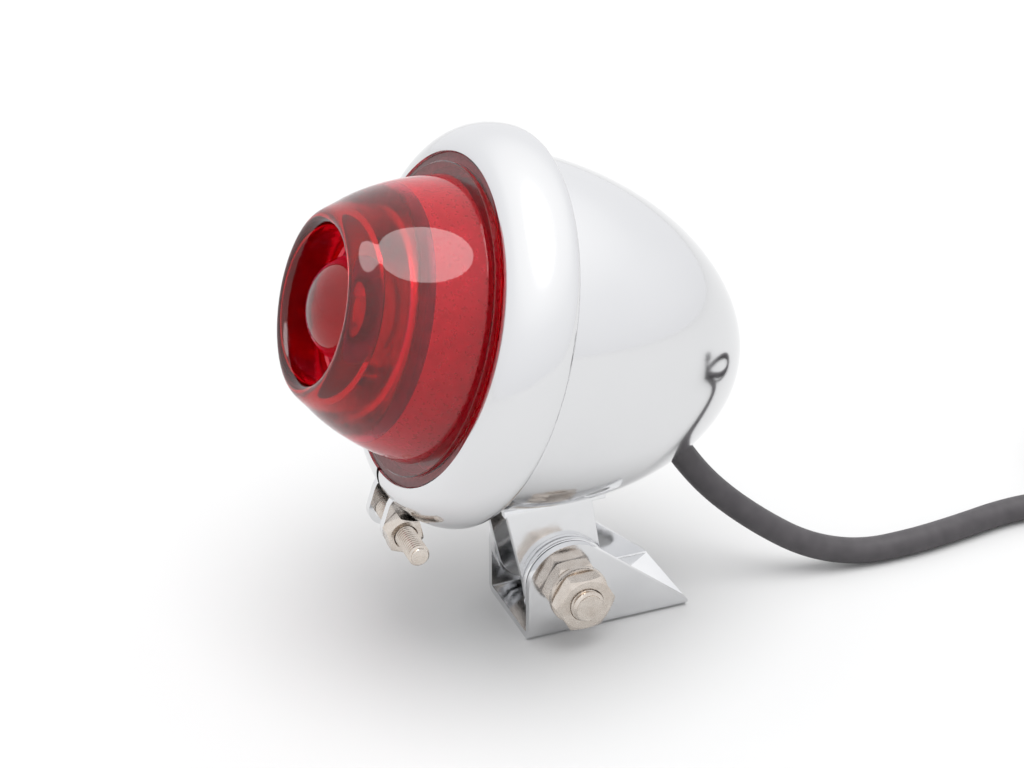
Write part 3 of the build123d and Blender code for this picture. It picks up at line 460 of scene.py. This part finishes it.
def cut_away(shape, cutter):
    """The first shape less the second."""
    solids = []
    for name, part in (("kept", shape), ("cutter", cutter)):
        mesh = bpy.data.meshes.new(name)
        part.to_mesh(mesh)
        part.free()
        solid = bpy.data.objects.new(name, mesh)
        bpy.context.scene.collection.objects.link(solid)
        solids.append(solid)
    cut = solids[0].modifiers.new("cut", "BOOLEAN")
    cut.object = solids[1]
    cut.solver = "EXACT"
    bpy.context.view_layer.update()
    worked_out = solids[0].evaluated_get(bpy.context.evaluated_depsgraph_get())
    left = bpy.data.meshes.new_from_object(worked_out)
    result = bmesh.new()
    result.from_mesh(left)
    for solid in solids:
        mesh = solid.data
        bpy.data.objects.remove(solid)
        bpy.data.meshes.remove(mesh)
    bpy.data.meshes.remove(left)
    return result


def block(size, matrix, edge=0.2):
    """A box with rounded edges, sizes in millimetres along the matrix's own axes."""
    shape = bmesh.new()
    bmesh.ops.create_cube(shape, size=1.0)
    bmesh.ops.scale(shape, vec=[side * MM for side in size], verts=shape.verts)
    bmesh.ops.bevel(
        shape, geom=shape.edges[:], offset=edge * MM, segments=2, affect="EDGES", profile=0.5, material=-1
    )
    bmesh.ops.transform(shape, matrix=matrix, verts=shape.verts)
    return shape


def folded_from_cad(name, node, body, material, edge=0.28):
    """A CAD node's solid with its sharp edges broken, as on pressed and plated sheet."""
    shape = bmesh.new()
    shape.from_mesh(frame["nodes"][node].data)
    bmesh.ops.remove_doubles(shape, verts=shape.verts, dist=0.001 * MM)
    bmesh.ops.dissolve_limit(
        shape, angle_limit=radians(0.5), verts=shape.verts[:], edges=shape.edges[:], delimit={"NORMAL"}
    )
    piece = made_piece(name, shape, material, body, (node,))
    broken = piece.modifiers.new("broken_edges", "BEVEL")
    broken.width = edge * MM
    broken.segments = 2
    broken.limit_method = "ANGLE"
    broken.angle_limit = radians(38)
    broken.harden_normals = True
    return piece


# ---------------------------------------------------------------- bullet and bezel
bullet_radius = 40.6
bullet_start = 14.5
bullet_length = 64.1
bullet_wall = 1.0
bullet_straight_share = 0.588
bullet_nose_share = 0.471
cup_radius = 43.0
cup_front = 6.8
cup_back = 13.2
bezel_radius = 45.5
opening_radius = 37.5
bezel_crest = 11.0
bezel_rear = 14.5
bezel_rear_radius = 43.8
bezel_wall = 1.0
bezel_split = 1.6
bezel_facets = 192
clamp_station = 6.8
clamp_drop = 48.9
lug_gap = 3.8
lug_thickness = 2.0
lug_radius = 4.2
lug_hole_radius = 2.75
lug_reach = 4.6
grommet_hole = 4.8


def bullet_side(inset):
    """The bullet's side from its seam to its tip, drawn in by a wall."""
    radius = bullet_radius - inset
    length = bullet_length - inset
    return curve_points(
        (bullet_start, radius),
        (bullet_start + bullet_straight_share * length, radius),
        (bullet_start + length, bullet_nose_share * radius),
        (bullet_start + length, 0),
        48,
    )


exit_point = Vector((0, 0.020420, 0.040960))
exit_normal = Vector((0, 0.4951, -0.8688))
exit_axes = axes_matrix(exit_point, across, exit_normal, across.cross(exit_normal))

bullet_outline = joined_outline(
    bullet_side(bullet_wall)[::-1],
    [
        (cup_back - bullet_wall, bullet_radius - bullet_wall),
        (cup_back - bullet_wall, cup_radius - bullet_wall),
        (cup_front, cup_radius - bullet_wall),
        (cup_front - 0.3, cup_radius - 0.5),
        (cup_front, cup_radius),
        (cup_back - 0.5, cup_radius),
        (cup_back, cup_radius - 0.5),
        (cup_back, bullet_radius + 0.5),
        (cup_back + 0.5, bullet_radius),
    ],
    bullet_side(0),
)
bullet_shape = turned(bullet_outline, lamp, 192, closed=False)
cable_hole = turned(
    [(-8, 0), (-8, grommet_hole), (4, grommet_hole), (4, 0)], exit_axes, 64, closed=False
)
made_piece(
    "bullet_shell", cut_away(bullet_shape, cable_hole), chrome, "head", ("housing",)
)

bezel_outline = joined_outline(
    curve_points((0, opening_radius), (0.33, 41.82), (5.17, bezel_radius), (bezel_crest, bezel_radius), 28),
    curve_points(
        (bezel_crest, bezel_radius), (12.75, bezel_radius),
        (14.1, 44.99), (bezel_rear, bezel_rear_radius), 8,
    ),
    [(bezel_rear, 41.6), (bezel_rear - 0.5, 41.3), (bezel_rear - bezel_wall, 41.6), (13.5, 42.8)],
    curve_points((bezel_crest, 44.5), (5.61, 44.5), (1.4, 41.5), (bezel_wall, opening_radius), 24),
    [(0.5, opening_radius - 0.25)],
)
half_split = bezel_split / 2 / bezel_radius
bezel_shape = turned(
    bezel_outline, lamp, bezel_facets, angle=2 * pi - 2 * half_split, begin=pi + half_split
)


def lug_plate(side):
    """One clamping lug: a plate with a round end and a hole, standing below the bezel."""
    shape = bmesh.new()
    rim = bmesh.ops.create_circle(shape, radius=lug_radius * MM, segments=48)["verts"]
    bmesh.ops.create_circle(shape, radius=lug_hole_radius * MM, segments=48)
    bmesh.ops.bridge_loops(shape, edges=shape.edges[:])
    top = [vert for vert in rim if vert.co.y > -1e-6]
    bmesh.ops.translate(shape, vec=(0, lug_reach * MM, 0), verts=top)
    made = bmesh.ops.extrude_face_region(shape, geom=shape.faces[:])["geom"]
    bmesh.ops.translate(
        shape, vec=(0, 0, lug_thickness * MM), verts=[g for g in made if isinstance(g, bmesh.types.BMVert)]
    )
    bmesh.ops.recalc_face_normals(shape, faces=shape.faces)
    place = axes_matrix(lamp_point(side, clamp_station, -clamp_drop), rear, up, across)
    bmesh.ops.transform(shape, matrix=place, verts=shape.verts)
    return shape


with_added(bezel_shape, lug_plate(lug_gap), lug_plate(-lug_gap - lug_thickness))
made_piece("bezel_ring", bezel_shape, chrome, "head", ("bezel",))

# ---------------------------------------------------------------- lens and reflector
lens_body_radius = 32.2
lens_front = 26.8
lens_ring_radius = 19.3
lens_groove_radius = 17.3
lens_groove_floor = 16.5
lens_dome_radius = 11.6
lens_dome_front = 27.0
lens_cavity_front = 13.5
lens_cavity_corner = 10.0
lens_corner_radius = 26.0
lens_cavity_radius = 30.0
lens_back = 5.0
lens_cavity_taper = (lens_cavity_radius - lens_corner_radius) / (lens_back + lens_cavity_corner)

lens_outline = joined_outline(
    curve_points(
        (-lens_dome_front, 0), (-lens_dome_front, 6.5),
        (-23.43, lens_dome_radius), (-18.0, lens_dome_radius), 24,
    ),
    [(-17.0, 11.7), (-lens_groove_floor, 12.3), (-lens_groove_floor, 16.2), (-17.0, 16.75)],
    [(-24.2, lens_groove_radius)],
    curve_points(
        (-24.2, lens_groove_radius), (-25.8, lens_groove_radius), (-lens_front, 17.9),
        (-lens_front, lens_ring_radius), 10,
    ),
    curve_points((-lens_front, lens_ring_radius), (-lens_front, 20.9), (-24.15, 21.9), (-21.5, 23.9), 12),
    curve_points((-21.5, 23.9), (-16.55, 27.4), (-9.03, 30.62), (-0.8, lens_body_radius), 20),
    [(-0.8, 34.9), (-0.6, 35.1), (0.3, 35.1), (0.4, 35.3), (0.4, 37.0), (0.6, 37.2), (1.45, 37.2)],
    [(1.45, 38.7), (1.65, 38.9), (lens_back, 38.9), (lens_back, lens_cavity_radius)],
    curve_points(
        (-lens_cavity_corner, lens_corner_radius), (-12.5, 25.0), (-lens_cavity_front, 23.5),
        (-lens_cavity_front, 20.0), 8,
    ),
    [(-lens_cavity_front, 0)],
)
lens_shape = turned(lens_outline, lamp, 192, closed=False)
# The cavity's side wall is stippled. Its front face and corner get a darker copy of the same red, which is
# painted shade for the darker look of the thick solid front.
from_lamp = lamp.inverted()
for face in lens_shape.faces:
    middle = from_lamp @ face.calc_center_median() / MM
    cavity_limit = lens_cavity_radius + 0.3 - (lens_back - middle.y) * lens_cavity_taper
    in_cavity = -lens_cavity_front - 0.1 < middle.y < lens_back - 0.1
    if in_cavity and hypot(middle.x, middle.z) < cavity_limit:
        face.material_index = 1 if middle.y > -lens_cavity_corner - 0.1 else 2
lens = made_piece("lens_moulding", lens_shape, red_plastic, "head", ("lens",))
lens.data.materials.append(stippled_red)
lens.data.materials.append(painted_shade_red)

gasket_radius = 41.5
reflector_hole = 9.6
reflector_outline = joined_outline(
    [(25.0, reflector_hole), (25.0, 16.0)],
    curve_points((25.0, 16.0), (20.0, 25.5), (14.9, 31.8), (11.4, 33.0), 24),
    [(11.4, gasket_radius), (12.2, gasket_radius), (12.2, 33.7)],
    curve_points((12.2, 33.7), (15.7, 32.4), (20.8, 26.2), (25.8, 16.4), 24),
    [(25.8, reflector_hole)],
)
made_piece(
    "pebbled_reflector", turned(reflector_outline, lamp, 128), pebbled,
    "head", ("reflector",),
)

# ---------------------------------------------------------------- nuts, bolts and washers
half_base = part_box("base_bracket")[1][0] / MM
pivot_axes = axes_matrix(pivot, Vector((0, 1, 0)), across, Vector((0, 0, -1)))
bolt_radius = 4.0
bolt_flats = 13.0
nut_height = 4.0
lock_height = 2.0
bolt_proud = 1.6
bolt_end = half_base + 2 * nut_height + lock_height + bolt_proud
head_washer_height = 1.6
head_height = 5.3
hex_slope = radians(30)


def hexed(shape, flats, start, end):
    """Draws a turned shape in to a hexagon whose corners are turned off at both ends."""
    face_radius = 0.475 * flats * MM
    middle = (start + end) / 2 * MM
    for vert in shape.verts:
        radius = hypot(vert.co.x, vert.co.z)
        if radius < face_radius + 0.02 * MM:
            continue
        from_flat = (atan2(vert.co.x, vert.co.z) + pi / 6) % (pi / 3) - pi / 6
        reach = flats / 2 / cos(from_flat) * MM
        drop = (reach - face_radius) * tan(hex_slope)
        vert.co.x *= reach / radius
        vert.co.z *= reach / radius
        vert.co.y = end * MM - drop if vert.co.y > middle else start * MM + drop
    return shape


def hexagon(flats, start, end, bore, place):
    """A hexagon nut, or a bolt head where there is no bore, along the matrix's own Y axis."""
    face = 0.475 * flats
    corner = flats / 2 / cos(pi / 6)
    outside = [(start, face), (start + 0.1, corner), (end - 0.1, corner), (end, face)]
    if bore:
        sink = 0.55
        outline = [
            (start + sink, bore), (start, bore + sink), *outside, (end, bore + sink), (end - sink, bore),
        ]
    else:
        outline = [(start, 0), *outside, (end, 0)]
    shape = turned(outline, Matrix.Identity(4), 96, closed=bool(bore))
    hexed(shape, flats, start, end)
    bmesh.ops.transform(shape, matrix=place, verts=shape.verts)
    return shape


def thread(major, pitch, start, end, chamfer, place):
    """A threaded length of rod along the matrix's own Y axis, its far end turned down."""
    root = major - 0.61 * pitch
    tooth = [(0, root), (0.14, root), (0.44, major), (0.56, major), (0.86, root), (1.0, root)]
    turns = int((end - start) / pitch) + 3
    shape = turned(
        [(start + (share - 1) * pitch, radius) for share, radius in tooth],
        Matrix.Identity(4), 40 * turns, closed=False, angle=2 * pi * turns, rise=pitch * turns,
    )
    bmesh.ops.delete(shape, geom=[f for f in shape.faces if len(f.verts) > 4], context="FACES_ONLY")
    for vert in shape.verts:
        limit = major * MM - max(0.0, vert.co.y - (end - chamfer) * MM)
        radius = hypot(vert.co.x, vert.co.z)
        if radius > limit > 0:
            vert.co.x *= limit / radius
            vert.co.z *= limit / radius
    for station, outwards in ((start, -1), (end, 1)):
        cut = bmesh.ops.bisect_plane(
            shape, geom=shape.verts[:] + shape.edges[:] + shape.faces[:], dist=1e-7,
            plane_co=(0, station * MM, 0), plane_no=(0, outwards, 0), clear_outer=True,
        )["geom_cut"]
        rim = [g for g in cut if isinstance(g, bmesh.types.BMEdge)]
        bmesh.ops.contextual_create(shape, geom=rim)
    bmesh.ops.recalc_face_normals(shape, faces=shape.faces)
    bmesh.ops.transform(shape, matrix=place, verts=shape.verts)
    return shape


def rod(radius, start, end, place, edge=0.3):
    """A plain round rod with turned-off ends along the matrix's own Y axis."""
    outline = [
        (start, 0), (start, radius - edge), (start + edge, radius),
        (end - edge, radius), (end, radius - edge), (end, 0),
    ]
    return turned(outline, place, 64, closed=False)


bolt_seat = -half_base - head_washer_height
bolt_shape = hexagon(bolt_flats, bolt_seat - head_height, bolt_seat, 0, pivot_axes)
with_added(
    bolt_shape,
    rod(bolt_radius, bolt_seat - 0.2, half_base, pivot_axes),
    thread(bolt_radius, 1.25, half_base - 0.5, bolt_end, 0.75, pivot_axes),
)
made_piece("pivot_bolt_m8", bolt_shape, nickel, "base", ("pivot_bolt",), 32.0)

inner_nut_end = half_base + nut_height
lock_end = inner_nut_end + lock_height
for name, node, start in (
    ("pivot_nut_inner", "pivot_inner_nut", half_base),
    ("pivot_nut_outer", "pivot_outer_nut", lock_end),
):
    nut_shape = hexagon(bolt_flats, start, start + nut_height, bolt_radius - 0.35, pivot_axes)
    made_piece(name, nut_shape, nickel, "base", (node,), 25.0)

lock_gap = radians(13)
lock_shape = turned(
    rounded_section(inner_nut_end + 0.05, inner_nut_end + 1.65, bolt_radius + 0.15, 7.2, 0.22),
    pivot_axes, 90, angle=2 * pi - lock_gap, begin=radians(28), rise=0.3,
)
made_piece("split_lock_washer", lock_shape, nickel, "base", ("pivot_lock_washer",))

head_washer = turned(rounded_section(bolt_seat, -half_base, bolt_radius + 0.1, 8.0, 0.25), pivot_axes)
made_piece("pivot_washer", head_washer, nickel, "base", ("pivot_head_washer",))

thrust_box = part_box("thrust_washers")
thrust_half = thrust_box[1][0] / MM
thrust_radius = (thrust_box[1][2] - thrust_box[0][2]) / 2 / MM
thrust_thickness = 1.5


def thrust_washer(start):
    """One thrust washer between the ears of the two brackets."""
    section = rounded_section(start, start + thrust_thickness, bolt_radius + 0.08, thrust_radius, 0.3)
    return turned(section, pivot_axes, 128)


thrust_shape = with_added(thrust_washer(thrust_half - thrust_thickness), thrust_washer(-thrust_half))
made_piece(
    "pivot_thrust_washers", thrust_shape, bracket_chrome, "base", ("thrust_washers",)
)

clamp_axes = axes_matrix(lamp_point(0, clamp_station, -clamp_drop), -rear, across, up)
lug_face = lug_gap + lug_thickness
screw_radius = 2.5
screw_length = 25.0
screw_head_height = 3.6
pan_head = turned(
    joined_outline(
        [(-lug_face, 0), (-lug_face, 4.1), (-lug_face - 0.3, 4.3)],
        curve_points((-7.4, 4.3), (-8.6, 4.2), (-9.4, 2.9), (-lug_face - screw_head_height, 0), 10),
    ),
    clamp_axes, 64, closed=False,
)
recess_place = clamp_axes @ Matrix.Translation((0, -(lug_face + 3.4) * MM, 0))
cross_recess = with_added(
    block((4.6, 2.4, 1.0), recess_place, 0.1), block((1.0, 2.4, 4.6), recess_place, 0.1)
)
screw_shape = with_added(
    cut_away(pan_head, cross_recess),
    thread(screw_radius, 0.8, -lug_face - 0.4, screw_length - lug_face, 0.6, clamp_axes),
)
made_piece("clamp_screw_m5", screw_shape, nickel, "head", ("clamp_screw",), 32.0)
clamp_nut_shape = hexagon(8.0, lug_face, lug_face + 4.0, screw_radius - 0.2, clamp_axes)
made_piece("clamp_nut_m5", clamp_nut_shape, nickel, "head", ("clamp_nut",), 25.0)

# ---------------------------------------------------------------- folded brackets
folded_from_cad("folded_base", "base_bracket", "base", bracket_chrome)
folded_from_cad("tilting_clevis", "head_bracket", "head", bracket_chrome)

# ---------------------------------------------------------------- grommet
grommet_outline = [
    (-3.7, 3.30), (-3.7, 5.2), (-3.2, 5.7), (-2.0, 5.7), (-2.0, 4.65), (-0.9, 4.65),
    (-0.75, 6.0), (-0.4, 6.2), (1.0, 6.2), (1.5, 5.9), (1.7, 5.3), (1.7, 3.9), (1.4, 3.45), (1.0, 3.30),
]
made_piece(
    "cable_exit_grommet", turned(grommet_outline, exit_axes, 96), rubber,
    "head", ("cable_grommet",),
)

# ---------------------------------------------------------------- cable
cable_radius = 3.25
coil_centre = (1.0, 173.0)
coil_radius = 33.0
coil_low = 3.85
coil_high = coil_low + 2 * cable_radius


def coil_point(angle, height, radius=coil_radius):
    """A point of the coil, angle in degrees."""
    turn = radians(angle)
    return (coil_centre[0] + radius * cos(turn), coil_centre[1] + radius * sin(turn), height)


falling_route = [
    tuple(exit_point / MM),
    tuple((exit_point + exit_normal * 7.8 * MM) / MM),
    (2.0, 32.3, 24.0),
    (6.1, 43.0, 15.0),
    (9.5, 55.0, 7.3),
    (11.6, 69.0, 3.3),
    (11.9, 84.0, 3.3),
    (10.2, 98.5, 3.3),
    (8.1, 111.5, 3.3),
    (8.3, 122.7, 3.4),
    (11.6, 133.2, 3.5),
    (17.3, 142.6, 3.7),
]
coil_route = []
for step in range(1, 17):
    angle = -45 + 405 * step / 17
    climb = min(1.0, max(0.0, (angle - 235) / 70))
    coil_route.append(coil_point(angle, coil_low + (coil_high - coil_low) * climb))
tail_start = (coil_centre[0] + coil_radius, coil_centre[1], coil_high)
tail_route = [
    (tail_start[0] + 0.1, tail_start[1] - 2.0, tail_start[2]),
    (tail_start[0] + 0.3, tail_start[1] + 10.0, tail_start[2] - 0.2),
    (tail_start[0] + 1.3, tail_start[1] + 22.0, tail_start[2] - 2.4),
    (tail_start[0] + 1.9, tail_start[1] + 34.0, tail_start[2] - 5.3),
    (tail_start[0] + 1.3, tail_start[1] + 44.0, 4.0),
    (tail_start[0] + 0.4, tail_start[1] + 53.0, 4.0),
]


def route_curve(name, route):
    """A smooth line with the route's points as its control points."""
    curve = bpy.data.curves.new(name, "CURVE")
    curve.dimensions = "3D"
    curve.resolution_u = 10
    spline = curve.splines.new("NURBS")
    spline.points.add(len(route) - 1)
    for point, place in zip(spline.points, route):
        point.co = (*(Vector(place) * MM), 1)
    spline.order_u = 3
    spline.use_endpoint_u = True
    return curve


whole_route = falling_route + coil_route + tail_route
cable_curve = route_curve("tail_light_cable", whole_route)
cable_line = bpy.data.objects.new("cable_line", cable_curve)
bpy.context.scene.collection.objects.link(cable_line)
bpy.context.view_layer.update()
centre_line = [v.co.copy() for v in bpy.data.meshes.new_from_object(cable_line).vertices]
bpy.data.objects.remove(cable_line)


def tube_along(points, radius, sides=32):
    """A round tube, open at its start, that follows a line of points without twisting."""
    shape = bmesh.new()
    along = (points[1] - points[0]).normalized()
    aside = along.orthogonal().normalized()
    ring = bmesh.ops.create_circle(shape, cap_ends=True, radius=radius, segments=sides)["verts"]
    start = axes_matrix(points[0], aside, along.cross(aside), along)
    bmesh.ops.transform(shape, matrix=start, verts=ring)
    front = list(shape.faces)
    for here, there, after in zip(points, points[1:], points[2:] + [None]):
        made = bmesh.ops.extrude_face_region(shape, geom=front)["geom"]
        verts = [g for g in made if isinstance(g, bmesh.types.BMVert)]
        bmesh.ops.delete(shape, geom=front, context="FACES_ONLY")
        front = [g for g in made if isinstance(g, bmesh.types.BMFace)]
        heading = (there - here).normalized()
        if after is not None:
            heading = (heading + (after - there).normalized()).normalized()
        turn = along.rotation_difference(heading).to_matrix().to_4x4()
        move = Matrix.Translation(there) @ turn @ Matrix.Translation(-here)
        bmesh.ops.transform(shape, matrix=move, verts=verts)
        along = heading
    return shape


cable_shape = tube_along(centre_line, cable_radius * MM)
bmesh.ops.holes_fill(cable_shape, edges=[e for e in cable_shape.edges if e.is_boundary])
bmesh.ops.recalc_face_normals(cable_shape, faces=cable_shape.faces)
cable = made_piece(
    "tail_light_cable", cable_shape, jacket, "base", ("cable", "cable_coil", "cable_tail")
)
